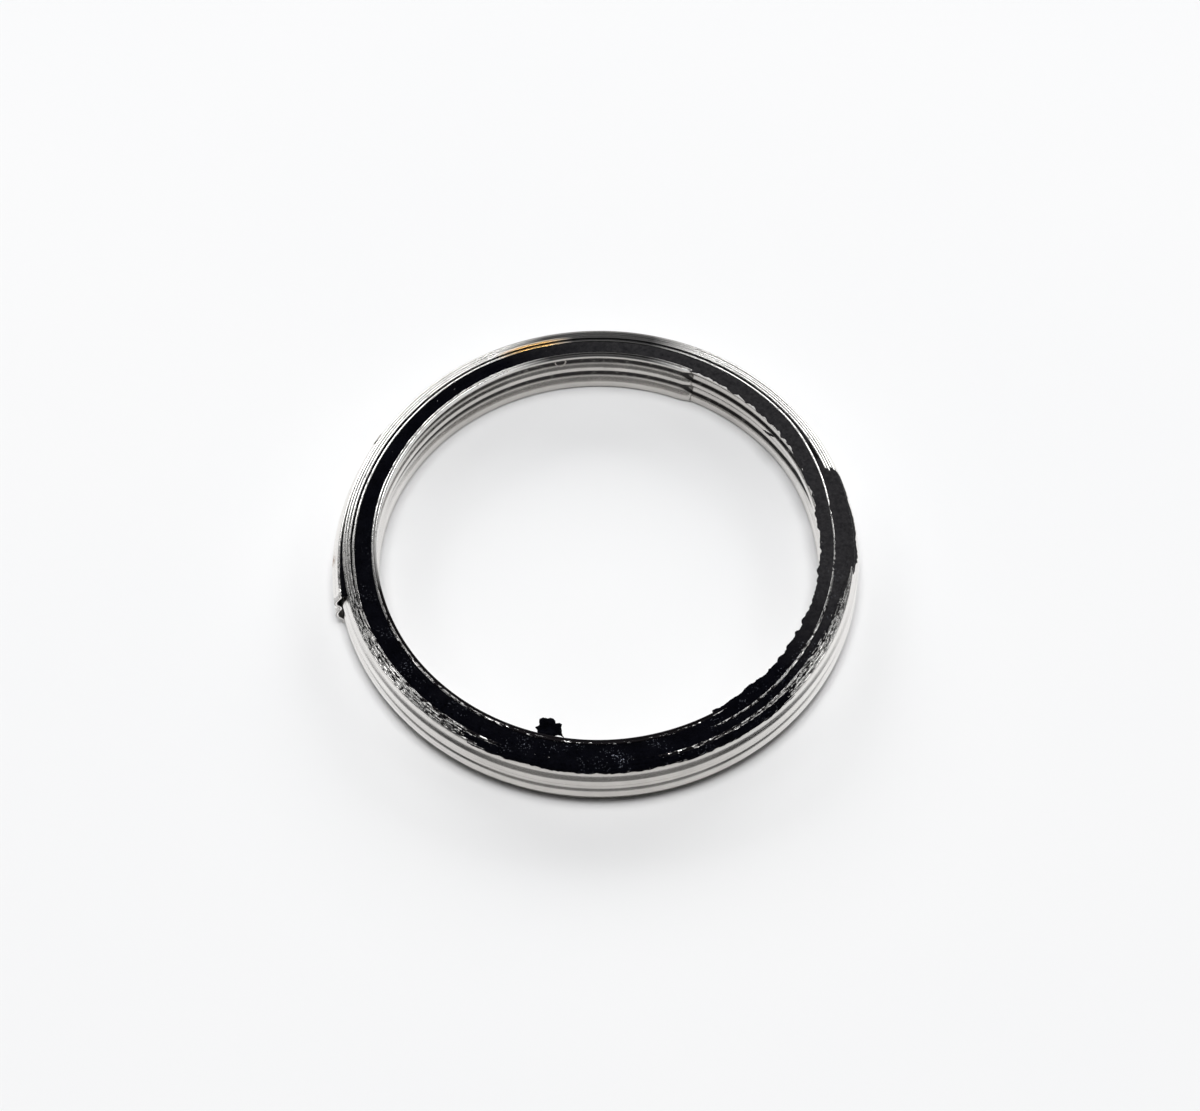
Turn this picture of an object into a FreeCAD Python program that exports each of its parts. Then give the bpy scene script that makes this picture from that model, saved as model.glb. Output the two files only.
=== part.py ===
import FreeCAD, Part
import math
import os
from FreeCAD import Vector

# Spiral-wound ring gasket. A thin stainless strip with two outward ribs is wound on itself,
# lap upon lap, with a graphite tape laid between three of the laps. Both ends of the strip are
# spot welded to the lap beside them. Millimetres, +Z up. The origin is on the ring's axis, in
# the plane that the ring lies on. Angles are in degrees, anticlockwise seen from above.

# Overall size
OUTER_DIAMETER = 45.0
HEIGHT = 5.3
GRAPHITE_PROUD = 0.1          # how far the graphite stands above and below the metal edges

# Metal strip
STRIP_THICKNESS = 0.2
LAP_PITCH = 0.23              # from one metal lap to the next, where they touch
TAPE_STEP = 0.66              # extra pitch where the graphite tape lies between two laps
TAPE_CLEARANCE = 0.015
STRIP_WIDTH = HEIGHT - 2 * GRAPHITE_PROUD

# Ribbed section of the strip: a straight lip at each edge, two arched ribs and a groove between them
LIP_DEPTH = 0.5               # how far the lips lie inside the crests
CREST_HEIGHT = 1.57           # from the strip's edge to the nearer crest
FLANK_SLOPE = 0.9             # how fast the flanks of a rib fall away, per unit of height
CREST_RADIUS = 0.9
LIP_BEND_RADIUS = 0.3
GROOVE_RADIUS = 0.55

# Winding: each lap is a circle about the axis, and steps out to the next one at the seam
SEAM_ANGLE = 8.0              # where the step begins
SEAM_HALF_SPAN = 16.0         # the step is an S of two arcs, each this long
STRIP_START_ANGLE = 65.0
STRIP_END_ANGLE = 193.0
LAP_STEPS = (0, 1, 1, 0, 0, 0, 0)        # 1 where the step also clears the graphite tape
FREE_END_SPAN = 27.0          # the outer end stands off over this angle
FREE_END_LIFT = 0.45

# Spot welds through two laps, on the upper rib
WELD_RADIUS = 0.6
WELD_HEIGHT = GRAPHITE_PROUD + STRIP_WIDTH - CREST_HEIGHT
INNER_WELD_ANGLE = 100.0
OUTER_WELD_ANGLE = 150.0
WELD_CUT_MARGIN = 0.008

# Graphite crumbs that stick to the inner edge
CHIP_ANGLE = 258.0
CHIP_OUTLINE = ((0.0, -1.3), (-0.35, -1.45), (-0.6, -1.0), (-1.25, -0.75), (-1.05, -0.2),
                (-1.5, 0.15), (-1.1, 0.6), (-0.55, 0.75), (-0.45, 1.2), (0.0, 1.05))
CHIP_THICKNESS = 0.45
CHIP_DROP = 0.15
SLIVER_ANGLE = 38.0
SLIVER_LENGTH = 1.7
SLIVER_WIDTH = 0.26
SLIVER_THICKNESS = 0.12
SLIVER_DROP = 1.3
SLIVER_TILT = -28.0
CRUMB_GAP = 0.02

# Radius of the strip's middle surface at the crest of the ribs, lap by lap
OUTER_LAP_RADIUS = OUTER_DIAMETER / 2 - STRIP_THICKNESS / 2
INNER_LAP_RADIUS = OUTER_LAP_RADIUS - sum(LAP_PITCH + s * TAPE_STEP for s in LAP_STEPS)
LIP_RADIUS = INNER_LAP_RADIUS - LIP_DEPTH - STRIP_THICKNESS / 2
TAPE_THICKNESS = LAP_PITCH + TAPE_STEP - STRIP_THICKNESS - 2 * TAPE_CLEARANCE


def direction(angle):
    return Vector(math.cos(math.radians(angle)), math.sin(math.radians(angle)), 0)


def rounded(points, radii):
    """An open line of points, with a tangent arc of the given radius in place of each corner."""
    edges = []
    start = points[0]
    for before, corner, after, radius in zip(points, points[1:], points[2:], radii):
        back = (before - corner).normalize()
        ahead = (after - corner).normalize()
        half = back.getAngle(ahead) / 2
        reach = radius / math.tan(half)
        middle = corner + (back + ahead).normalize() * (radius / math.sin(half) - radius)
        enter, leave = corner + back * reach, corner + ahead * reach
        edges.append(Part.LineSegment(start, enter).toShape())
        edges.append(Part.Arc(enter, middle, leave).toShape())
        start = leave
    edges.append(Part.LineSegment(start, points[-1]).toShape())
    return edges


def rib_line(radius, bottom, top):
    """The ribbed line in the XZ plane whose crests lie at the given radius, from bottom to top."""
    # The flanks meet beyond the crest's arc, at this depth.
    peak = CREST_RADIUS * (1 - math.sqrt(1 + FLANK_SLOPE ** 2))
    valley = peak + FLANK_SLOPE * (STRIP_WIDTH / 2 - CREST_HEIGHT)
    lip_end = CREST_HEIGHT - (LIP_DEPTH - peak) / FLANK_SLOPE
    lower = ((lip_end, LIP_DEPTH), (CREST_HEIGHT, peak))
    upper = [(STRIP_WIDTH - z, depth) for z, depth in reversed(lower)]
    levels = [(GRAPHITE_PROUD + z, depth) for z, depth in lower + ((STRIP_WIDTH / 2, valley),) + tuple(upper)]
    levels = [(bottom, LIP_DEPTH)] + levels + [(top, LIP_DEPTH)]
    radii = (LIP_BEND_RADIUS, CREST_RADIUS, GROOVE_RADIUS, CREST_RADIUS, LIP_BEND_RADIUS)
    return rounded([Vector(radius - depth, 0, z) for z, depth in levels], radii)


def layer_section(inner, outer, bottom, top):
    """A face in the XZ plane between two ribbed lines."""
    inside, outside = rib_line(inner, bottom, top), rib_line(outer, bottom, top)
    low = Part.LineSegment(Vector(inner - LIP_DEPTH, 0, bottom), Vector(outer - LIP_DEPTH, 0, bottom))
    high = Part.LineSegment(Vector(inner - LIP_DEPTH, 0, top), Vector(outer - LIP_DEPTH, 0, top))
    edges = inside + outside + [low.toShape(), high.toShape()]
    return Part.Face(Part.Wire(Part.__sortEdges__(edges)))


def winding():
    """The strip's path: arcs as (start angle, end angle, centre, radius of the middle surface)."""
    arcs = []
    centre, radius = Vector(0, 0, 0), INNER_LAP_RADIUS
    angle = STRIP_START_ANGLE
    seam = SEAM_ANGLE + 360
    for with_tape in LAP_STEPS:
        arcs.append((angle, seam, Vector(centre), radius))
        step = LAP_PITCH + with_tape * TAPE_STEP
        swing = step / (2 - 2 * math.cos(math.radians(SEAM_HALF_SPAN)))
        middle, angle = seam + SEAM_HALF_SPAN, seam + 2 * SEAM_HALF_SPAN
        flat_centre = centre - direction(seam) * swing
        arcs.append((seam, middle, flat_centre, radius + swing))
        pull = 2 * swing * math.cos(math.radians(SEAM_HALF_SPAN))
        arcs.append((middle, angle, flat_centre + direction(middle) * pull, radius + swing - pull))
        radius += step
        seam += 360
    end = STRIP_END_ANGLE + 360 * len(LAP_STEPS)
    lift_off = end - FREE_END_SPAN
    arcs.append((angle, lift_off, Vector(centre), radius))
    rise = FREE_END_LIFT / (1 - math.cos(math.radians(FREE_END_SPAN)))
    arcs.append((lift_off, end, centre - direction(lift_off) * rise, radius + rise))
    return arcs


def split(arcs, first, last):
    """The stretch of a path between two angles, cut where it needs to be."""
    kept = []
    for start, end, centre, radius in arcs:
        start, end = max(start, first), min(end, last)
        if end - start > 1e-6:
            kept.append((start, end, centre, radius))
    return kept


def swept(arcs, inner, outer, bottom, top):
    """One solid along a path, from inner to outer of the path's own radius."""
    skin = []
    ends = []
    for start, end, centre, radius in arcs:
        section = layer_section(radius + inner, radius + outer, bottom, top)
        section.rotate(Vector(0, 0, 0), Vector(0, 0, 1), start)
        section.translate(centre)
        skin += section.OuterWire.revolve(centre, Vector(0, 0, 1), end - start).Faces
        last = section.copy()
        last.rotate(centre, Vector(0, 0, 1), end - start)
        ends += [section, last]
    # Neighbouring arcs share a tangent section, so only the first and the last one are closed.
    shell = Part.makeCompound(skin + [ends[0], ends[-1]])
    shell.sewShape(1e-5)
    return Part.makeSolid(shell.Shells[0])


def spot_weld(angle, lap_radius):
    """The weld nugget through the lap at this radius and the next one out, and its cutter."""
    half_span = math.degrees(2 * WELD_RADIUS / lap_radius)
    arc = [(angle - half_span, angle + half_span, Vector(0, 0, 0), lap_radius)]
    inner, outer = -STRIP_THICKNESS / 2, LAP_PITCH + STRIP_THICKNESS / 2
    base = direction(angle) * (lap_radius - 2) + Vector(0, 0, WELD_HEIGHT)
    rod = Part.makeCylinder(WELD_RADIUS, 4, base, direction(angle))
    bottom, top = GRAPHITE_PROUD, HEIGHT - GRAPHITE_PROUD
    nugget = swept(arc, inner, outer, bottom, top).common(rod)
    cutter = swept(arc, inner - WELD_CUT_MARGIN, outer + WELD_CUT_MARGIN, bottom, top).common(rod)
    return nugget.Solids[0], cutter


def make_strip(arcs, cutters):
    half = STRIP_THICKNESS / 2
    strip = swept(arcs, -half, half, GRAPHITE_PROUD, HEIGHT - GRAPHITE_PROUD)
    for cutter in cutters:
        strip = strip.cut(cutter)
    return strip.Solids[0]


def make_filler(arcs):
    """The graphite tape, from where the first step has opened to where the third one begins."""
    first = SEAM_ANGLE + 360 * (LAP_STEPS.index(1)) + 2 * SEAM_HALF_SPAN
    last = SEAM_ANGLE + 360 * (LAP_STEPS.index(1) + LAP_STEPS.count(1))
    inner = STRIP_THICKNESS / 2 + TAPE_CLEARANCE
    return swept(split(arcs, first, last), inner, inner + TAPE_THICKNESS, 0, HEIGHT)


def make_chip():
    """A flat jagged flake held against the inner lip, pointing into the ring."""
    edge = LIP_RADIUS - CRUMB_GAP
    top = HEIGHT - CHIP_DROP
    corners = [Vector(edge + inward, side, top) for inward, side in CHIP_OUTLINE]
    # The two ends of the outline lie on the lip's circle.
    for corner in corners:
        corner.x = min(corner.x, math.sqrt(edge ** 2 - corner.y ** 2))
    flake = Part.Face(Part.makePolygon(corners + corners[:1])).extrude(Vector(0, 0, -CHIP_THICKNESS))
    flake.rotate(Vector(0, 0, 0), Vector(0, 0, 1), CHIP_ANGLE)
    return flake


def make_sliver():
    """A thin splinter lying slantwise against the inner wall, on the crest of the inner rib."""
    reach = LIP_RADIUS - CRUMB_GAP
    x = math.sqrt(reach ** 2 - (SLIVER_LENGTH / 2) ** 2) - SLIVER_THICKNESS
    half = SLIVER_LENGTH / 2
    corners = [Vector(0, -half, 0), Vector(0, -0.2 * half, SLIVER_WIDTH / 2),
               Vector(0, half, 0.1 * SLIVER_WIDTH), Vector(0, 0.3 * half, -SLIVER_WIDTH / 2)]
    blade = Part.Face(Part.makePolygon(corners + corners[:1])).extrude(Vector(SLIVER_THICKNESS, 0, 0))
    blade.rotate(Vector(0, 0, 0), Vector(1, 0, 0), SLIVER_TILT)
    blade.translate(Vector(x, 0, HEIGHT - SLIVER_DROP))
    blade.rotate(Vector(0, 0, 0), Vector(0, 0, 1), SLIVER_ANGLE)
    return blade


def main():
    arcs = winding()
    inner_weld, inner_cutter = spot_weld(INNER_WELD_ANGLE, INNER_LAP_RADIUS)
    outer_weld, outer_cutter = spot_weld(OUTER_WELD_ANGLE, OUTER_LAP_RADIUS - LAP_PITCH)
    nodes = {
        "wound_metal_strip": make_strip(arcs, (inner_cutter, outer_cutter)),
        "graphite_filler": make_filler(arcs),
        "inner_end_spot_weld": inner_weld,
        "outer_end_spot_weld": outer_weld,
        "graphite_chip": make_chip(),
        "graphite_sliver": make_sliver(),
    }
    os.makedirs("parts", exist_ok=True)
    for name, shape in nodes.items():
        box = shape.BoundBox
        print(name, shape.ShapeType, "valid", shape.isValid(), "volume %.3f" % shape.Volume,
              "x %.2f..%.2f" % (box.XMin, box.XMax), "y %.2f..%.2f" % (box.YMin, box.YMax),
              "z %.2f..%.2f" % (box.ZMin, box.ZMax))
        shape.exportStep("parts/" + name + ".step")


main()
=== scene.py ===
import math

import bpy
import numpy as np
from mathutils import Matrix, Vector


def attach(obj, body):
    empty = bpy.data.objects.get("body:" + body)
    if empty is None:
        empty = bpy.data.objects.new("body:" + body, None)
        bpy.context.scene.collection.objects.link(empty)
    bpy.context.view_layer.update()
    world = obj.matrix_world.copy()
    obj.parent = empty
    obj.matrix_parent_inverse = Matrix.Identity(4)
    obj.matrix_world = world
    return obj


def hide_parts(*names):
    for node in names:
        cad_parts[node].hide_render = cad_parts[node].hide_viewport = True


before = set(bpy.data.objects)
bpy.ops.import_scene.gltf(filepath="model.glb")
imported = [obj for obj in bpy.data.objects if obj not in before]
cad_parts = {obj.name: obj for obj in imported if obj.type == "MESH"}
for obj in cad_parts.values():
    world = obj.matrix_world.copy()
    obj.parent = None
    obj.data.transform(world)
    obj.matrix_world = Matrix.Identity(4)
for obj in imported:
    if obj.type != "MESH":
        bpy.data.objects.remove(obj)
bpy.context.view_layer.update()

MM = 0.001
TAU = 2 * math.pi

# ---------------------------------------------------------------- sizes, in millimetres and degrees
HEIGHT = 5.3
METAL_LOW, METAL_TOP = 0.1, 5.2
THICK = 0.2                                 # of the strip
OUTER_LAP = 22.4                            # middle surface of the outermost lap, at its crests
LAP_PITCH, TAPE_STEP = 0.23, 0.66
LAP_STEPS = (0, 1, 1, 0, 0, 0, 0)           # 1 where the step outward also clears the graphite tape
FULL_LAPS = len(LAP_STEPS)
SEAM, SEAM_SPAN = 8.0, 32.0                 # where each lap steps outward, and over how far
STRIP_START, STRIP_END = 65.0, 193.0
FREE_SPAN, FREE_LIFT = 27.0, 0.44           # the outer end stands off over this span, by this much
TUCK = 0.18                                 # how much the strip's inner end thins down
TUCK_SPAN = 3.0
INNER_LAP = OUTER_LAP - sum(LAP_PITCH + s * TAPE_STEP for s in LAP_STEPS)


def smoothstep(x):
    x = np.clip(x, 0, 1)
    return x * x * (3 - 2 * x)


LIP_DEPTH, CREST_HEIGHT, FLANK_SLOPE = 0.5, 1.57, 0.9
CREST_RADIUS, GROOVE_RADIUS = 0.9, 0.55
SHOULDER_SLOPE, SHOULDER_RADIUS = 0.72, 0.9  # between each crest and the lip beyond it
LIP_BEND = 0.12                              # how softly the shoulder turns into the lip
LIP_SINK = 0.007                             # makes up for the depth that the soft turn takes away


def rib_depth(z):
    """How far the strip's section lies inside the crest of its ribs, at a height above its lower edge."""
    half = (METAL_TOP - METAL_LOW) / 2
    z = half - np.abs(np.asarray(z, dtype=float) - half)
    lean = math.hypot(1, FLANK_SLOPE)
    peak = CREST_RADIUS * (1 - lean)
    valley = peak + FLANK_SLOPE * (half - CREST_HEIGHT)
    away = np.abs(z - CREST_HEIGHT)
    crest = CREST_RADIUS - np.sqrt(np.maximum(CREST_RADIUS ** 2 - away ** 2, 0))
    depth = np.where(away < CREST_RADIUS * FLANK_SLOPE / lean, crest, peak + FLANK_SLOPE * away)
    soft = SHOULDER_RADIUS * (1 - math.hypot(1, SHOULDER_SLOPE))
    rounded = SHOULDER_RADIUS - np.sqrt(np.maximum(SHOULDER_RADIUS ** 2 - away ** 2, 0))
    turn = SHOULDER_RADIUS * SHOULDER_SLOPE / math.hypot(1, SHOULDER_SLOPE)
    shoulder = np.where(away < turn, rounded, soft + SHOULDER_SLOPE * away)
    depth = np.where(z < CREST_HEIGHT, shoulder, depth)
    groove = valley - GROOVE_RADIUS * lean + np.sqrt(np.maximum(GROOVE_RADIUS ** 2 - (half - z) ** 2, 0))
    depth = np.where(half - z < GROOVE_RADIUS * FLANK_SLOPE / lean, groove, depth)
    lip = (depth + LIP_DEPTH - np.sqrt((depth - LIP_DEPTH) ** 2 + LIP_BEND ** 2)) / 2
    return np.where(z < CREST_HEIGHT - 0.4, lip + LIP_SINK, depth)


def waves(angle, count, seed, low, high):
    """A smooth curve along the strip, between about -1 and 1, from a few sine waves."""
    local = np.random.default_rng(seed)
    total = np.zeros_like(angle, dtype=float)
    for _ in range(count):
        n = local.integers(low, high)
        total += local.normal() * np.sin(np.radians(angle) * n + local.uniform(0, TAU))
    return total / math.sqrt(count)


def lap_radius(phi):
    """Radius of the strip's middle surface at its rib crests. phi runs on from the strip's start."""
    phi = np.asarray(phi, dtype=float)
    radius = np.full(phi.shape, INNER_LAP)
    for k, with_tape in enumerate(LAP_STEPS):
        step = LAP_PITCH + with_tape * TAPE_STEP
        radius = radius + step * smoothstep((phi - (SEAM + 360 * (k + 1))) / SEAM_SPAN)
    lift_start = STRIP_END + 360 * FULL_LAPS - FREE_SPAN
    x = np.clip((phi - lift_start) / FREE_SPAN, 0, 1)
    return radius + FREE_LIFT * x * x


# How far the laps outside the tape lie from a true circle, as (angle, move outward). The lap between
# the tape's two layers moves half as far.
SLACK = ((0, -0.16), (40, -0.38), (90, -0.42), (140, -0.40), (160, -0.28), (180, -0.02),
         (270, -0.02), (310, -0.02), (360, -0.16))
# The first lap outside the tape is pressed inward from one winding angle to another, which opens a
# gap beyond it.
CLOSE_FROM, CLOSE_TO, CLOSE_BY = 1096.0, 1282.0, 0.13


def out_of_round(phi):
    """The real winding is a little slack: its outer laps lie further in on the far side."""
    phi = np.asarray(phi, dtype=float)
    taped = [k for k, with_tape in enumerate(LAP_STEPS) if with_tape]
    share = sum(smoothstep((phi - (SEAM + 360 * (k + 1))) / SEAM_SPAN) for k in taped) / len(taped)
    close = smoothstep((phi - CLOSE_FROM) / 14) * smoothstep((CLOSE_TO - phi) / 20)
    slack = np.interp(phi % 360, [angle for angle, move in SLACK], [move for angle, move in SLACK])
    return share * slack - CLOSE_BY * close


DROP_FROM, DROP_PER_LAP = 1480.0, 0.075


def edge_drop(phi):
    """The outer laps' top edges sit a little lower, lap by lap."""
    return DROP_PER_LAP * np.clip((np.asarray(phi, dtype=float) - DROP_FROM) / 360, 0, 4)


def make_mesh(name, verts, faces, smooth=True):
    mesh = bpy.data.meshes.new(name)
    mesh.from_pydata([tuple(v) for v in verts], [], [tuple(int(i) for i in f) for f in faces])
    mesh.validate()
    if smooth:
        mesh.polygons.foreach_set("use_smooth", [True] * len(mesh.polygons))
    mesh.update()
    obj = bpy.data.objects.new(name, mesh)
    bpy.context.scene.collection.objects.link(obj)
    return obj


# ---------------------------------------------------------------- the wound strip
def strip_section():
    """Closed outline of the strip's cross section as (offset from the middle surface, z).

    The pulls round its edges off, and make the outer top edge slant.
    """
    half = THICK / 2
    middle = np.linspace(0.16, 4.92, 64)
    zs_in = np.concatenate([[0.0, 0.02, 0.07], middle, [5.0, 5.06, 5.085, 5.1]])
    in_pull = np.concatenate([[0.05, 0.02, 0.0], 0 * middle, [0.0, 0.0, 0.008, 0.03]])
    zs_out = np.concatenate([[0.0, 0.02, 0.07], middle, [4.99, 5.02, 5.042, 5.075]])
    out_pull = np.concatenate([[0.05, 0.02, 0.0], 0 * middle, [0.0, 0.012, 0.045, 0.11]])
    inner = [(-half - 0.02 + p - d, METAL_LOW + z) for z, d, p in zip(zs_in, rib_depth(zs_in), in_pull)]
    outer = [(half - p - d, METAL_LOW + z) for z, d, p in zip(zs_out, rib_depth(zs_out), out_pull)]
    return inner + outer[::-1]


def make_strip():
    section = strip_section()
    n = len(section)
    finish = STRIP_END + 360 * FULL_LAPS
    phis = np.arange(STRIP_START, finish + 0.01, 1.25)
    phis[-1] = finish
    radius = lap_radius(phis) + out_of_round(phis)
    sway = 0.012 * waves(phis / 7.0, 9, 11, 10, 60)
    rise = 0.018 * waves(phis / 7.0, 7, 12, 8, 50)
    sunk = edge_drop(phis)
    verts, faces = [], []
    for i, phi in enumerate(phis):
        c, s = math.cos(math.radians(phi)), math.sin(math.radians(phi))
        thin = TUCK * (1 - smoothstep((phi - STRIP_START) / TUCK_SPAN))
        for j, (off, z) in enumerate(section):
            r = radius[i] + off + sway[i] + (thin if j < n // 2 else 0)
            top = smoothstep((z - 3.0) / 2.0)
            verts.append((r * c * MM, r * s * MM, (z - (abs(rise[i]) + sunk[i]) * top) * MM))
    for i in range(len(phis) - 1):
        for j in range(n):
            a, b = i * n + j, i * n + (j + 1) % n
            faces.append((a, b, b + n, a + n))
    half = n // 2
    for base, flip in ((0, False), ((len(phis) - 1) * n, True)):
        for j in range(half - 1):
            quad = (base + j, base + n - 1 - j, base + n - 2 - j, base + j + 1)
            faces.append(quad[::-1] if not flip else quad)
    return make_mesh("metal_strip", verts, faces)


strip = make_strip()


# ---------------------------------------------------------------- pressed graphite
MEAN_RADIUS = 20.4
ROUND = TAU * MEAN_RADIUS


def grain(angle, radius, cell, seed):
    """Value noise over the top face, closed round the ring, with cells of the given size."""
    nx = max(8, int(round(ROUND / cell)))
    ny = int(8.0 / cell) + 4
    table = np.random.default_rng(seed).uniform(-1, 1, (nx, ny))
    x = (angle % 360) / 360 * nx
    y = (radius - 17.0) / cell
    x0, y0 = np.floor(x).astype(int), np.floor(y).astype(int)
    fx, fy = smoothstep(x - x0), smoothstep(y - y0)
    y0 = np.clip(y0, 0, ny - 2)
    a = table[x0 % nx, y0] * (1 - fx) + table[(x0 + 1) % nx, y0] * fx
    b = table[x0 % nx, y0 + 1] * (1 - fx) + table[(x0 + 1) % nx, y0 + 1] * fx
    return a * (1 - fy) + b * fy


def shown(angle, points):
    """How far a lap's edge shows through the graphite, read between (angle, amount) pairs."""
    return np.interp(angle, [p[0] for p in points], [p[1] for p in points])


# Angles run from the strip's inner start, at 65 degrees, round to 425. The eighth lap is the short one.
EDGE_SHOWS = {
    1: [(65, 1), (296, 1), (304, 0), (425, 0)],
    2: [(65, 0), (80, 0.25), (156, 0.3), (168, 1), (285, 1), (300, 0), (425, 0)],
    3: [(65, 0), (296, 0), (302, 0.7), (320, 1), (345, 1), (352, 0.4), (368, 0.4), (374, 0.6),
        (380, 1), (425, 1)],
    4: [(65, 1), (110, 0.9), (238, 1), (250, 0.2), (282, 0.2), (290, 0.75), (312, 0.8), (322, 0.45),
        (338, 0.15), (348, 0), (380, 0), (383, 1), (425, 1)],
    5: [(65, 1), (232, 1), (244, 0), (312, 0), (325, 0.6), (345, 0.5), (350, 0), (379, 0),
        (382, 1), (425, 1)],
    6: [(65, 1), (232, 1), (244, 0), (314, 0), (325, 0.7), (345, 0.6), (352, 0), (380, 0),
        (383, 1), (425, 1)],
    7: [(65, 1), (234, 1), (246, 0), (314, 0), (322, 0.9), (350, 0.8), (356, 0.1), (379, 0.1),
        (382, 1), (425, 1)],
    8: [(65, 1), (193, 1), (194, 0), (425, 0)],
}
LIP_BARE, LIP_COVERED = 0.15, 0.05      # crust below a lap's edge that shows, above one that doesn't
GAP_BARE, GAP_COVERED = 0.24, 0.03      # and the same between two laps that touch
POCKET = 0.9                            # depth of the gap where the tape has ended
WIDE_GAP = 0.5                          # laps further apart than this have tape, or a pocket, between them
LUMP_TOP = HEIGHT - 0.008
SMEAR_FROM, SMEAR_TO, SMEAR_OUT = 350, 384, 0.28   # graphite smeared over the outer shoulder


def lip_radius(angle, lap):
    return lap_radius(angle + 360 * (lap - 1)) + out_of_round(angle + 360 * (lap - 1)) - LIP_DEPTH


def shoulder_drop(beyond):
    """How far the outermost lap's shoulder has fallen below its lip, at a distance outside the lip."""
    return np.interp(beyond, [0, 0.04, 0.1, 0.2, 0.35, 0.5], [0, 0.3, 0.45, 0.62, 0.95, 1.5])


def rim_grain(angles, row, cell, seed):
    """Value noise along one circle of the given radius."""
    return grain(angles, np.full(angles.shape, row), cell, seed)


def crust_columns(angles, rows):
    """Radii and heights of the graphite's top surface: one column per angle."""
    radii = np.zeros((len(angles), rows))
    level = np.zeros((len(angles), rows))
    fine = rim_grain(angles, 17.5, 0.5, 41) + 0.6 * rim_grain(angles, 18.5, 0.2, 42)
    broad = rim_grain(angles, 19.5, 1.7, 43)
    outer_rag = rim_grain(angles, 20.5, 0.8, 44) + 0.5 * rim_grain(angles, 21.5, 0.25, 45)
    for i, angle in enumerate(angles):
        last = FULL_LAPS + 1 if angle <= STRIP_END + 0.5 else FULL_LAPS
        lips = [float(lip_radius(angle, k)) for k in range(1, last + 1)]
        show = [float(shown(angle, EDGE_SHOWS[k])) for k in range(1, last + 1)]
        nodes, heights = [lips[0] - 0.16], [0.02 if show[0] < 0.5 else -0.2]
        for k in range(last):
            nodes.append(lips[k])
            low = float(edge_drop(angle + 360 * k))
            heights.append(-low - LIP_BARE * show[k] + LIP_COVERED * (1 - show[k]))
            if k + 1 < last:
                gap = lips[k + 1] - lips[k]
                hide = max(show[k], show[k + 1])
                nodes.append((lips[k] + lips[k + 1]) / 2)
                if gap > WIDE_GAP:
                    heights.append(-0.01)
                    # The tape has ended here, and the laps close up: smeared over at first, then open.
                    if k == 2 and SEAM + 361 < angle < SEAM + 360 + SEAM_SPAN:
                        heights[-1] = -POCKET if angle > SMEAR_TO else 0.02
                else:
                    heights.append(-low - GAP_BARE * hide + GAP_COVERED * (1 - hide))
        over_out = 1 - show[-1]
        nodes.append(lips[-1] + 0.14)
        heights.append(0.03 * over_out - 0.2 * show[-1] - low)
        inner = lips[0] + 0.04
        if show[0] < 0.5:
            inner = lips[0] - 0.12 - 0.13 * (1 + 0.9 * fine[i]) - 0.05 * broad[i]
        outer = lips[-1] - 0.04
        if show[-1] < 0.5:
            outer = lips[-1] + 0.13 + 0.018 * outer_rag[i]
            if SMEAR_FROM < angle < SMEAR_TO:
                outer += SMEAR_OUT * smoothstep((angle - SMEAR_FROM) / 8) * (1 + 0.5 * outer_rag[i])
        radii[i] = np.linspace(inner, outer, rows)
        level[i] = np.interp(radii[i], nodes, heights)
        lip_out = lips[-1] + THICK / 2
        level[i] -= shoulder_drop(radii[i] - lip_out)
    grid = np.repeat(angles[:, None], rows, axis=1)
    lumps = (0.020 * grain(grid, radii, 0.55, 21) + 0.020 * grain(grid, radii, 0.24, 22)
             + 0.020 * grain(grid, radii, 0.12, 23) + 0.010 * grain(grid, radii, 0.06, 24))
    pits = np.clip(grain(grid, radii, 0.32, 25) - 0.55, 0, 1) * 0.1
    heights = METAL_TOP + level + lumps - pits
    return radii, np.minimum(heights, LUMP_TOP - 0.01 * np.abs(grain(grid, radii, 0.1, 26)))


def closed_band(name, angles, outline_of, wrap):
    """A closed mesh swept round the ring: outline_of(i) gives one column's (radius, z) loop."""
    verts, faces = [], []
    n = None
    for i, angle in enumerate(angles):
        c, s = math.cos(math.radians(angle)), math.sin(math.radians(angle))
        loop = outline_of(i)
        n = len(loop)
        verts.extend((r * c * MM, r * s * MM, z * MM) for r, z in loop)
    count = len(angles)
    for i in range(count if wrap else count - 1):
        base, other = i * n, ((i + 1) % count) * n
        for j in range(n):
            k = (j + 1) % n
            faces.append((base + j, base + k, other + k, other + j))
    if not wrap:
        faces.append(tuple(range(n))[::-1])
        faces.append(tuple((count - 1) * n + j for j in range(n)))
    return make_mesh(name, verts, faces)


def make_crust():
    """The crumbly top face of the filler, smeared over some of the laps' edges."""
    angles = np.arange(65.0, 425.0, 0.16)
    rows = 56
    radii, heights = crust_columns(angles, rows)

    def outline(i):
        top = list(zip(radii[i], heights[i]))
        lower = []
        for t in np.linspace(1, 0, 9):
            j = int(round(t * (rows - 1)))
            edge = min(t, 1 - t)
            lower.append((radii[i][j], heights[i][j] - 0.07 - 0.5 * float(smoothstep(edge / 0.2))))
        return top + lower
    return closed_band("graphite_crust", angles, outline, True)


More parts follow.
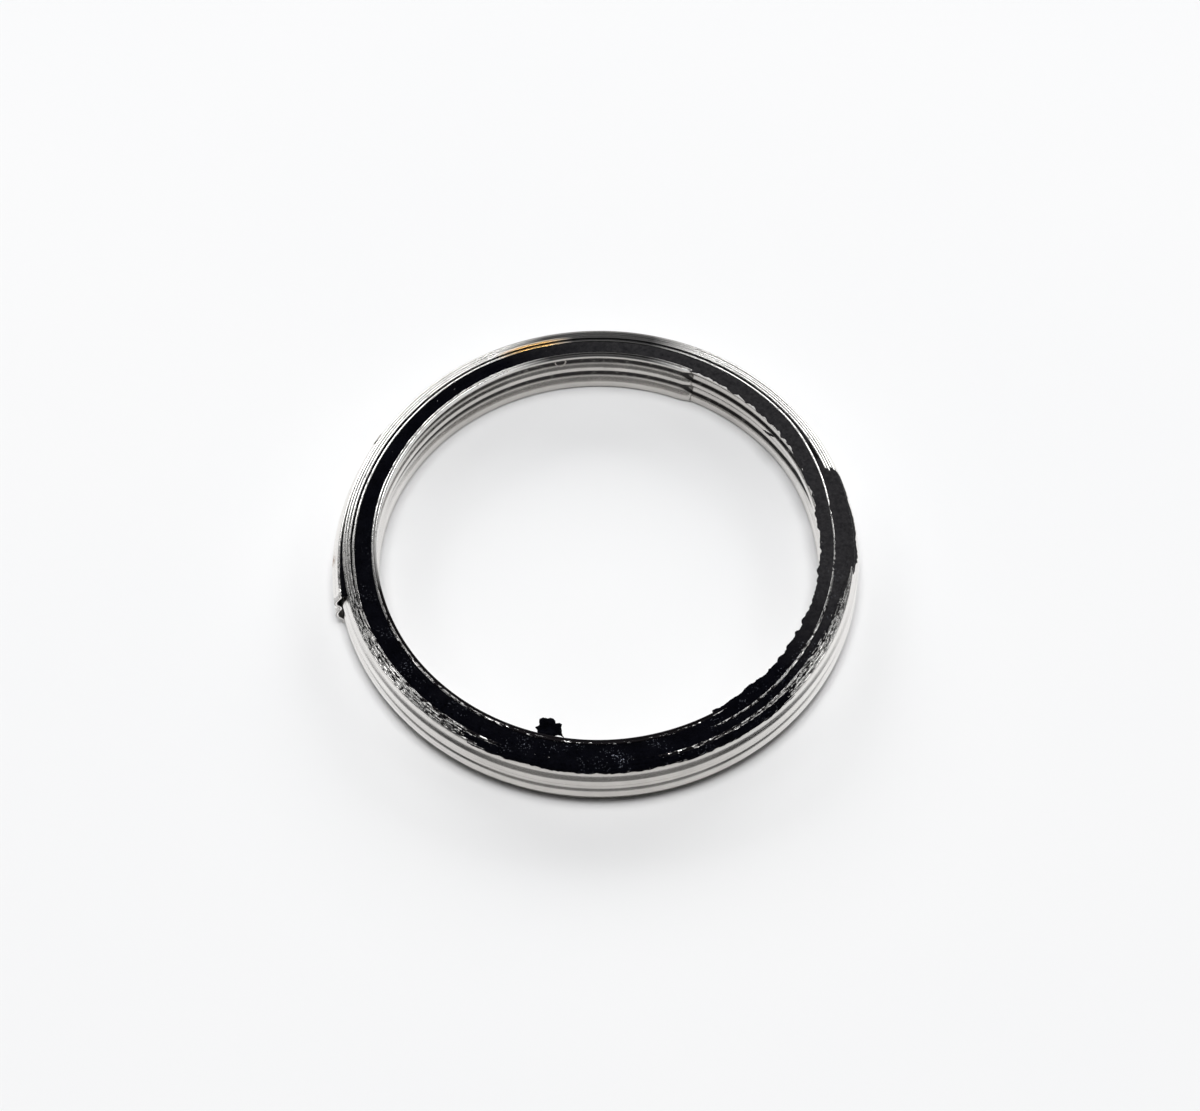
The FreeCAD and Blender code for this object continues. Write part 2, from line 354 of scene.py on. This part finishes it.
def make_tape():
    """The body of the tape between the laps, ending just under the crust, with a grainy lower face."""
    first = SEAM + 360 + SEAM_SPAN
    last = SEAM + 360 * 3
    phis = np.arange(first, last, 0.5)
    inner = lap_radius(phis) + out_of_round(phis) + THICK / 2 + 0.005
    outer = lap_radius(phis + 360) + out_of_round(phis + 360) - THICK / 2 - 0.005
    zs = np.linspace(0.03, METAL_TOP - 0.12, 34)
    depth = rib_depth(zs - METAL_LOW)
    cells = np.linspace(0, 1, 9)[1:-1]

    def outline(i):
        side_in = [(inner[i] - d, z) for d, z in zip(depth, zs)]
        side_out = [(outer[i] - d, z) for d, z in zip(depth, zs)]
        width = outer[i] - inner[i]
        low = []
        for t in cells[::-1]:
            r = inner[i] - depth[0] + t * width
            lump = 0.02 * grain(np.array([phis[i]]), np.array([r]), 0.3, 31)[0]
            lump += 0.015 * grain(np.array([phis[i]]), np.array([r]), 0.13, 32)[0]
            low.append((r, max(0.004, 0.03 + lump)))
        return side_in + side_out[::-1] + low
    return closed_band("graphite_tape", phis, outline, False)


def crumb(name, centre, along, across, outline, thickness, seed, rings=6):
    """A jagged flake: its outline is a closed list of (along, across), in millimetres."""
    local = np.random.default_rng(seed)
    points = [np.array(p, dtype=float) for p in outline]
    for _ in range(2):
        finer = []
        for a, b in zip(points, points[1:] + points[:1]):
            side = np.array([-(b - a)[1], (b - a)[0]])
            finer += [a, (a + b) / 2 + side * local.uniform(-0.16, 0.16)]
        points = finer
    middle = sum(points) / len(points)
    normal = along.cross(across)
    verts, faces = [], []
    n = len(points)
    for face in (1, -1):
        for ring in range(rings):
            t = 1 - ring / rings
            for p in points:
                q = middle + (p - middle) * t
                bulge = thickness / 2 * (0.35 + 0.65 * math.sqrt(1 - t * t)) + local.uniform(-0.035, 0.035)
                v = centre + along * q[0] + across * q[1] + normal * (face * max(0.02, bulge))
                verts.append(v * MM)
        peak = centre + along * middle[0] + across * middle[1] + normal * (face * thickness / 2)
        verts.append(peak * MM)
    block = rings * n + 1
    for face in range(2):
        base = face * block
        for ring in range(rings):
            for j in range(n):
                k = (j + 1) % n
                a, b = base + ring * n + j, base + ring * n + k
                if ring + 1 < rings:
                    quad = (a, b, b + n, a + n)
                else:
                    quad = (a, b, base + rings * n)
                faces.append(quad if face == 0 else quad[::-1])
    for j in range(n):
        k = (j + 1) % n
        faces.append((j, j + block, k + block, k))
    return make_mesh(name, verts, faces, smooth=False)


def polar(angle, radius, z=0.0):
    return Vector((radius * math.cos(math.radians(angle)), radius * math.sin(math.radians(angle)), z))


WELD_RADIUS = 0.6


def weld_spot(name, angle, radius, z, facing):
    """A thin round spot on a lap's surface, with a soft raised rim. facing is 1 outward, -1 inward."""
    rings, around = 10, 48
    verts, faces = [], []
    for side in range(2):
        for ring in range(rings + 1):
            t = ring / rings
            for j in range(around):
                a = TAU * j / around
                dx, dz = WELD_RADIUS * t * math.cos(a), WELD_RADIUS * t * math.sin(a)
                depth = float(rib_depth(np.array([z + dz - METAL_LOW]))[0])
                lift = 0.006 + 0.009 * math.exp(-((t - 0.78) / 0.14) ** 2)
                if t > 0.97:
                    lift = -0.01
                if side:
                    lift = -0.05
                r = radius - depth + facing * lift
                verts.append(polar(angle + math.degrees(dx / radius), r, z + dz) * MM)
    block = (rings + 1) * around
    for side in range(2):
        for ring in range(rings):
            for j in range(around):
                k = (j + 1) % around
                a, b = side * block + ring * around + j, side * block + ring * around + k
                quad = (a, b, b + around, a + around)
                faces.append(quad if (side == 0) == (facing < 0) else quad[::-1])
    rim = rings * around
    for j in range(around):
        k = (j + 1) % around
        quad = (rim + j, rim + k, block + rim + k, block + rim + j)
        faces.append(quad if facing < 0 else quad[::-1])
    return make_mesh(name, verts, faces)


crust = make_crust()
tape = make_tape()

CHIP_ANGLE = 258
CHIP = ((0.02, 1.05), (-0.5, 0.76), (-1.12, 0.63), (-1.16, 0.4), (-0.88, 0.31), (-1.5, -0.41),
        (-1.36, -0.64), (-1.41, -1.02), (-1.06, -1.28), (-0.79, -1.15), (-0.38, -1.46), (-0.21, -1.25),
        (0.07, -1.15), (0.12, 0.0))
chip_at = polar(CHIP_ANGLE, 18.72, 5.02)
chip = crumb("graphite_chip_flake", chip_at, polar(CHIP_ANGLE, 1), polar(CHIP_ANGLE + 90, 1), CHIP, 0.4, 5)
SLIVER_ANGLE = 38
SLIVER = ((-0.85, -0.02), (-0.3, 0.12), (0.2, 0.08), (0.85, 0.05), (0.3, -0.12), (-0.35, -0.1))
sliver_at = polar(SLIVER_ANGLE, 18.66, 4.05)
tilt = math.radians(-28)
round_the_ring, upward = polar(SLIVER_ANGLE + 90, 1), Vector((0, 0, 1))
sliver_along = round_the_ring * math.cos(tilt) + upward * math.sin(tilt)
sliver_across = upward * math.cos(tilt) - round_the_ring * math.sin(tilt)
sliver = crumb("graphite_sliver_splinter", sliver_at, sliver_along, sliver_across, SLIVER, 0.12, 6)

WELD_Z = METAL_TOP - 1.52
INNER_WELD_ANGLE, OUTER_WELD_ANGLE = 100.0, 150.0
outer_phi = OUTER_WELD_ANGLE + 360 * FULL_LAPS
inner_wall = float(lap_radius(INNER_WELD_ANGLE)) + float(out_of_round(INNER_WELD_ANGLE)) - THICK / 2
outer_wall = float(lap_radius(outer_phi)) + float(out_of_round(outer_phi)) + THICK / 2
inner_spot = weld_spot("inner_weld_spot", INNER_WELD_ANGLE, inner_wall, WELD_Z, -1)
outer_spot = weld_spot("outer_weld_spot", OUTER_WELD_ANGLE, outer_wall, WELD_Z, 1)


# ---------------------------------------------------------------- materials
class Nodes:
    """A small helper that makes and links shader nodes."""

    def __init__(self, name):
        self.material = bpy.data.materials.new(name)
        self.material.use_nodes = True
        self.tree = self.material.node_tree
        self.shader = self.tree.nodes["Principled BSDF"]

    def add(self, kind, inputs=None, **settings):
        node = self.tree.nodes.new(kind)
        for key, value in settings.items():
            setattr(node, key, value)
        for key, value in (inputs or {}).items():
            self.put(value, node.inputs[key])
        return node

    def put(self, value, socket):
        if isinstance(value, bpy.types.NodeSocket):
            self.tree.links.new(value, socket)
        elif isinstance(value, bpy.types.Node):
            self.tree.links.new(value.outputs[0], socket)
        else:
            socket.default_value = value

    def math(self, operation, a, b=None, c=None):
        inputs = {0: a}
        if b is not None:
            inputs[1] = b
        if c is not None:
            inputs[2] = c
        return self.add("ShaderNodeMath", inputs, operation=operation)

    def times(self, a, b):
        return self.math("MULTIPLY", a, b)

    def plus(self, a, b):
        return self.math("ADD", a, b)

    def larger(self, a, b):
        return self.math("MAXIMUM", a, b)

    def away(self, a, b):
        """How far a is from b, either way."""
        return self.math("ABSOLUTE", self.math("SUBTRACT", a, b))

    def position(self):
        """The object's own coordinates in millimetres."""
        coords = self.add("ShaderNodeTexCoord").outputs["Object"]
        return self.add("ShaderNodeVectorMath", {0: coords, "Scale": 1000.0}, operation="SCALE")

    def noise(self, vector, scale, detail=3.0, roughness=0.55):
        return self.add("ShaderNodeTexNoise", {"Vector": vector, "Scale": scale, "Detail": detail,
                                               "Roughness": roughness}).outputs["Fac"]

    def ramp(self, value, low, high, out_low=0.0, out_high=1.0):
        return self.add("ShaderNodeMapRange", {"Value": value, "From Min": low, "From Max": high,
                                               "To Min": out_low, "To Max": out_high}).outputs[0]

    def mix(self, factor, a, b):
        node = self.add("ShaderNodeMix", data_type="RGBA")
        self.put(factor, node.inputs["Factor"])
        self.put(a, node.inputs[6])
        self.put(b, node.inputs[7])
        return node.outputs[2]

    def round_coordinates(self, along, out, up):
        """Coordinates round the ring, outward and up, each scaled, so that noise makes streaks.

        Also returned: the position's parts, the angle and the radius.
        """
        xyz = self.add("ShaderNodeSeparateXYZ", {0: self.position()})
        angle = self.math("ARCTAN2", xyz.outputs[1], xyz.outputs[0])
        squares = [self.times(xyz.outputs[axis], xyz.outputs[axis]) for axis in (0, 1)]
        radius = self.math("SQRT", self.plus(*squares))
        parts = {0: self.times(angle, 22.0 * along), 1: self.times(radius, out),
                 2: self.times(xyz.outputs[2], up)}
        return self.add("ShaderNodeCombineXYZ", parts), xyz, angle, radius


def spot_mask(nodes, centre, size):
    """1 at a point in millimetres, falling to 0 at the given distance."""
    gap = nodes.add("ShaderNodeVectorMath", {0: nodes.position(), 1: centre}, operation="DISTANCE")
    return nodes.ramp(gap.outputs["Value"], size, size * 0.35)


STEEL, STEEL_CLOUDED, STEEL_STREAK = (0.66, 0.635, 0.605, 1), (0.56, 0.54, 0.515, 1), (0.44, 0.43, 0.42, 1)
# The side walls' steel colour below is a painted highlight; the cut edge's colour is the metal's own.
STEEL_SIDE_HIGHLIGHT, CUT_EDGE = (0.92, 0.90, 0.875, 1), (0.93, 0.92, 0.90, 1)
# The last colour below serves both graphite dust and painted shade.
GOLD, BROWN, GRAPHITE_DUST_AND_SHADE = (1.0, 0.62, 0.20, 1), (0.22, 0.11, 0.05, 1), (0.008, 0.007, 0.008, 1)
GOLD_ANGLE, GOLD_RADIUS = math.radians(106), 20.60
BROWN_SPOT, BROWN_SIZE = tuple(polar(183, 22.5, 3.6)), 0.75


def steel_material():
    nodes = Nodes("rolled_stainless")
    streak_at, xyz, angle, radius = nodes.round_coordinates(0.12, 9.0, 9.0)
    streaks = nodes.noise(streak_at, 1.0, 4.0, 0.65)
    fine_at = nodes.round_coordinates(0.5, 26.0, 26.0)[0]
    fine = nodes.noise(fine_at, 1.0, 3.0, 0.6)
    cloud = nodes.noise(nodes.position(), 0.35, 4.0)
    grime_and_shade_noise = nodes.noise(nodes.position(), 1.6, 6.0, 0.7)
    scuffs = nodes.noise(nodes.position(), 5.0, 5.0, 0.7)

    # Graphite smeared on the top edges in patches. The top edges are darker on the near side, broken in
    # patches; the far top edges and inner channels carry painted shade.
    high = nodes.ramp(xyz.outputs[2], 4.86, 5.2)
    edge = nodes.ramp(xyz.outputs[2], 4.80, 4.98)
    smear = nodes.times(nodes.ramp(grime_and_shade_noise, 0.5, 0.68), high)
    speck = nodes.ramp(scuffs, 0.70, 0.76)
    north = nodes.math("DIVIDE", xyz.outputs[1], radius)
    near = nodes.ramp(north, 0.12, -0.25)
    far = nodes.times(nodes.ramp(north, 0.90, 0.975), 0.93)
    side = nodes.math("ABSOLUTE", nodes.math("DIVIDE", xyz.outputs[0], radius))
    worn = nodes.noise(nodes.round_coordinates(1.6, 6.0, 1.0)[0], 1.0, 4.0, 0.7)
    worn = nodes.plus(worn, nodes.ramp(side, 0.3, 0.75, 0.0, 0.12))
    broken = nodes.larger(nodes.ramp(worn, 0.63, 0.58), nodes.ramp(radius, 19.15, 19.05))
    # Darker top edges on the near side, and painted shade on the far side's top edges.
    near_dark_far_shade = nodes.times(nodes.larger(nodes.times(near, broken), far), edge)
    # Painted shade in the inner wall's channels, varied by the same noise as the graphite smears.
    channel_shade = nodes.times(nodes.ramp(radius, 19.25, 19.33), nodes.ramp(radius, 19.52, 19.46))
    channel_shade = nodes.times(channel_shade, nodes.ramp(grime_and_shade_noise, 0.25, 0.45, 0.6, 0.95))

    # The clean metal: painted shade on the near and far walls and a painted highlight on the side walls;
    # brighter on the cut edge.
    clean = nodes.mix(nodes.ramp(cloud, 0.35, 0.7), STEEL, STEEL_CLOUDED)
    near_far_shade = nodes.larger(nodes.ramp(north, -0.6, -0.95), nodes.ramp(north, 0.4, 0.8))
    clean = nodes.mix(near_far_shade, STEEL_SIDE_HIGHLIGHT, clean)
    clean = nodes.mix(edge, clean, CUT_EDGE)
    clean = nodes.mix(nodes.times(nodes.ramp(streaks, 0.45, 0.75), 0.35), clean, STEEL_STREAK)
    gold_along = nodes.ramp(nodes.away(angle, GOLD_ANGLE), 0.17, 0.06)
    gold_across = nodes.ramp(nodes.away(radius, GOLD_RADIUS), 0.42, 0.25)
    gold = nodes.times(nodes.times(gold_along, gold_across), high)
    clean = nodes.mix(gold, clean, GOLD)
    brown = nodes.times(spot_mask(nodes, BROWN_SPOT, BROWN_SIZE), nodes.ramp(scuffs, 0.4, 0.6))
    clean = nodes.mix(brown, clean, BROWN)

    # Graphite smears and specks, together with the painted shade above, all take the dark colour.
    dirt_and_shade = nodes.larger(nodes.times(smear, 0.75), nodes.times(speck, 0.35))
    dirt_and_shade = nodes.larger(dirt_and_shade, nodes.times(near_dark_far_shade, nodes.math("SUBTRACT", 1.0, gold)))
    dirt_and_shade = nodes.larger(dirt_and_shade, channel_shade)
    nodes.put(nodes.mix(dirt_and_shade, clean, GRAPHITE_DUST_AND_SHADE), nodes.shader.inputs["Base Color"])
    rough = nodes.plus(nodes.ramp(streaks, 0.3, 0.75, 0.17, 0.25), nodes.ramp(fine, 0.3, 0.8, 0.0, 0.06))
    rough = nodes.plus(rough, nodes.times(dirt_and_shade, 0.35))
    nodes.put(rough, nodes.shader.inputs["Roughness"])
    nodes.shader.inputs["Metallic"].default_value = 1.0
    height = nodes.plus(nodes.times(streaks, 0.7), nodes.times(fine, 0.3))
    bump = nodes.add("ShaderNodeBump", {"Strength": 0.22, "Distance": 0.00002, "Height": height})
    nodes.put(bump.outputs[0], nodes.shader.inputs["Normal"])
    return nodes.material


GRAPHITE_DARK, GRAPHITE_PALE = (0.0004, 0.0004, 0.0008, 1), (0.0022, 0.0022, 0.0034, 1)
# The first colour below is a painted sheen; the flakes' colour is their own.
GRAPHITE_SHEEN, FLAKE = (0.029, 0.028, 0.029, 1), (0.16, 0.17, 0.20, 1)


def graphite_material():
    nodes = Nodes("flake_graphite")
    at = nodes.position()
    warp = nodes.noise(at, 3.0, 4.0)
    flakes = nodes.add("ShaderNodeTexVoronoi", {"Vector": at, "Scale": 8.5})
    small = nodes.add("ShaderNodeTexVoronoi", {"Vector": at, "Scale": 15.0})
    pick = nodes.add("ShaderNodeSeparateXYZ", {0: flakes.outputs["Color"]})
    pick_small = nodes.add("ShaderNodeSeparateXYZ", {0: small.outputs["Color"]})
    dusty = nodes.noise(at, 0.8, 5.0, 0.65)
    base = nodes.mix(nodes.ramp(dusty, 0.35, 0.7), GRAPHITE_DARK, GRAPHITE_PALE)

    # Painted sheen: lighter grey towards the right and the far side.
    xyz = nodes.add("ShaderNodeSeparateXYZ", {0: at})
    far_right_sheen = nodes.plus(nodes.times(xyz.outputs[0], 0.045), nodes.times(xyz.outputs[1], 0.035))
    far_right_sheen = nodes.times(nodes.ramp(far_right_sheen, 0.25, 0.75), nodes.ramp(warp, 0.3, 0.65, 0.5, 1.0))
    base = nodes.mix(far_right_sheen, base, GRAPHITE_SHEEN)

    # A few flakes lie flat and glint, in patches on the near side.
    glitter = nodes.larger(nodes.ramp(pick.outputs[0], 0.985, 0.99),
                           nodes.ramp(pick_small.outputs[1], 0.955, 0.965))
    patches = nodes.ramp(nodes.noise(at, 0.45, 3.0), 0.50, 0.66)
    patches = nodes.times(patches, nodes.ramp(xyz.outputs[1], 2.0, -8.0))
    glitter = nodes.times(glitter, patches)
    base = nodes.mix(nodes.times(glitter, 0.6), base, FLAKE)
    nodes.put(base, nodes.shader.inputs["Base Color"])
    nodes.put(nodes.times(glitter, 0.9), nodes.shader.inputs["Metallic"])
    rough = nodes.ramp(pick.outputs[1], 0.0, 1.0, 0.34, 0.72)
    rough = nodes.math("SUBTRACT", rough, nodes.times(glitter, 0.2))
    nodes.put(rough, nodes.shader.inputs["Roughness"])
    nodes.shader.inputs["Specular IOR Level"].default_value = 0.02
    nodes.shader.inputs["Specular Tint"].default_value = (0.55, 0.6, 1.0, 1)

    # Each flake leans its own way.
    normal = nodes.add("ShaderNodeNewGeometry").outputs["Normal"]
    lean = nodes.add("ShaderNodeVectorMath", {0: flakes.outputs["Color"], 1: (0.5, 0.5, 0.5)},
                     operation="SUBTRACT")
    lean = nodes.add("ShaderNodeVectorMath", {0: lean, "Scale": 0.45}, operation="SCALE")
    tilted = nodes.add("ShaderNodeVectorMath", {0: normal, 1: lean}, operation="ADD")
    tilted = nodes.add("ShaderNodeVectorMath", {0: tilted}, operation="NORMALIZE")
    height = nodes.plus(nodes.times(warp, 0.5), nodes.noise(at, 14.0, 5.0, 0.7))
    bump = nodes.add("ShaderNodeBump", {"Strength": 0.5, "Distance": 0.00005, "Height": height,
                                        "Normal": tilted})
    nodes.put(bump.outputs[0], nodes.shader.inputs["Normal"])
    return nodes.material


def weld_material():
    nodes = Nodes("weld_steel")
    at = nodes.position()
    cloud = nodes.noise(at, 3.0, 4.0)
    pits = nodes.noise(at, 16.0, 4.0, 0.7)
    nodes.put(nodes.mix(nodes.ramp(cloud, 0.3, 0.7), (0.50, 0.485, 0.46, 1), (0.36, 0.33, 0.30, 1)),
              nodes.shader.inputs["Base Color"])
    nodes.put(nodes.ramp(pits, 0.3, 0.8, 0.25, 0.5), nodes.shader.inputs["Roughness"])
    nodes.shader.inputs["Metallic"].default_value = 1.0
    bump = nodes.add("ShaderNodeBump", {"Strength": 0.4, "Distance": 0.00002, "Height": pits})
    nodes.put(bump.outputs[0], nodes.shader.inputs["Normal"])
    return nodes.material


def floor_material():
    nodes = Nodes("pale_table")
    mottle = nodes.noise(nodes.position(), 0.02, 3.0)
    colour = nodes.mix(mottle, (0.86, 0.865, 0.875, 1), (0.89, 0.89, 0.89, 1))
    nodes.put(colour, nodes.shader.inputs["Base Color"])
    nodes.put(nodes.ramp(mottle, 0.2, 0.8, 0.6, 0.75), nodes.shader.inputs["Roughness"])
    nodes.shader.inputs["Specular IOR Level"].default_value = 0.2
    return nodes.material


steel, graphite, weld = steel_material(), graphite_material(), weld_material()
for piece, material in ((strip, steel), (crust, graphite), (tape, graphite), (chip, graphite),
                        (sliver, graphite), (inner_spot, weld), (outer_spot, weld)):
    piece.data.materials.append(material)
for node, material in (("wound_metal_strip", steel), ("graphite_filler", graphite),
                       ("graphite_chip", graphite), ("graphite_sliver", graphite),
                       ("inner_end_spot_weld", weld), ("outer_end_spot_weld", weld)):
    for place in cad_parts[node].material_slots:
        place.material = material

for piece, slot, replaced in ((strip, "stainless_strip", ("wound_metal_strip",)),
                              (tape, "graphite_tape", ("graphite_filler",)),
                              (crust, "graphite_tape", ()),
                              (chip, "graphite_tape", ("graphite_chip",)),
                              (sliver, "graphite_tape", ("graphite_sliver",)),
                              (inner_spot, "spot_weld", ("inner_end_spot_weld",)),
                              (outer_spot, "spot_weld", ("outer_end_spot_weld",))):
    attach(piece, "root")
    if replaced:
        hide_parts(*replaced)


# ---------------------------------------------------------------- floor, light and camera
corners = [(-3, -3, 0), (3, -3, 0), (3, 3, 0), (-3, 3, 0)]
floor = make_mesh("table_top", corners, [(0, 1, 2, 3)], smooth=False)
floor.data.materials.append(floor_material())


def look_at(obj, target):
    obj.rotation_euler = (Vector(target) - obj.location).to_track_quat("-Z", "Y").to_euler()


def panel(name, azimuth, elevation, distance, width, height, power):
    """A soft rectangular light that faces the ring."""
    light = bpy.data.lights.new(name, "AREA")
    light.shape = "RECTANGLE"
    light.size, light.size_y = width, height
    light.energy = power
    obj = bpy.data.objects.new(name, light)
    bpy.context.scene.collection.objects.link(obj)
    a, e = math.radians(azimuth), math.radians(elevation)
    obj.location = Vector((math.cos(a) * math.cos(e), math.sin(a) * math.cos(e), math.sin(e))) * distance
    look_at(obj, (0, 0, 0))
    return obj


sun = bpy.data.lights.new("overhead", "SUN")
sun.energy = 2.3
sun.angle = math.radians(25)
sun_obj = bpy.data.objects.new("overhead", sun)
bpy.context.scene.collection.objects.link(sun_obj)
sun_obj.rotation_euler = (math.radians(2.5), 0, 0)
panel("right_window", 60, 27, 1.3, 0.75, 0.55, 5.0)
panel("left_window", 120, 27, 1.3, 0.75, 0.55, 5.0)
panel("left_fill", 178, 44, 1.3, 0.3, 0.3, 0.7)
panel("right_fill", 6, 44, 1.3, 0.3, 0.3, 0.7)
panel("front_room", 270, 12, 1.5, 2.4, 0.5, 0.7)

world = bpy.data.worlds.new("room")
world.use_nodes = True
world.node_tree.nodes["Background"].inputs["Color"].default_value = (0.92, 0.95, 1.0, 1)
world.node_tree.nodes["Background"].inputs["Strength"].default_value = 0.03
bpy.context.scene.world = world
bpy.context.scene.view_settings.view_transform = "Standard"

OUTER_RADIUS = 22.5 * MM
CAMERA_ELEVATION = math.radians(59.91)
CAMERA_DISTANCE = 15.0                  # in outer radii
camera_data = bpy.data.cameras.new("camera")
camera_data.sensor_width = 36.0
camera_data.lens = 117.63               # the outer radius takes 0.218 of the frame's width
camera_data.clip_end = 20.0
camera = bpy.data.objects.new("camera", camera_data)
bpy.context.scene.collection.objects.link(camera)
aim = Vector((0.0044, 0.0741, 0.0)) * OUTER_RADIUS
back = Vector((0, -math.cos(CAMERA_ELEVATION), math.sin(CAMERA_ELEVATION)))
camera.location = aim + back * (CAMERA_DISTANCE * OUTER_RADIUS)
camera.rotation_euler = (math.pi / 2 - CAMERA_ELEVATION, 0, 0)
bpy.context.scene.camera = camera
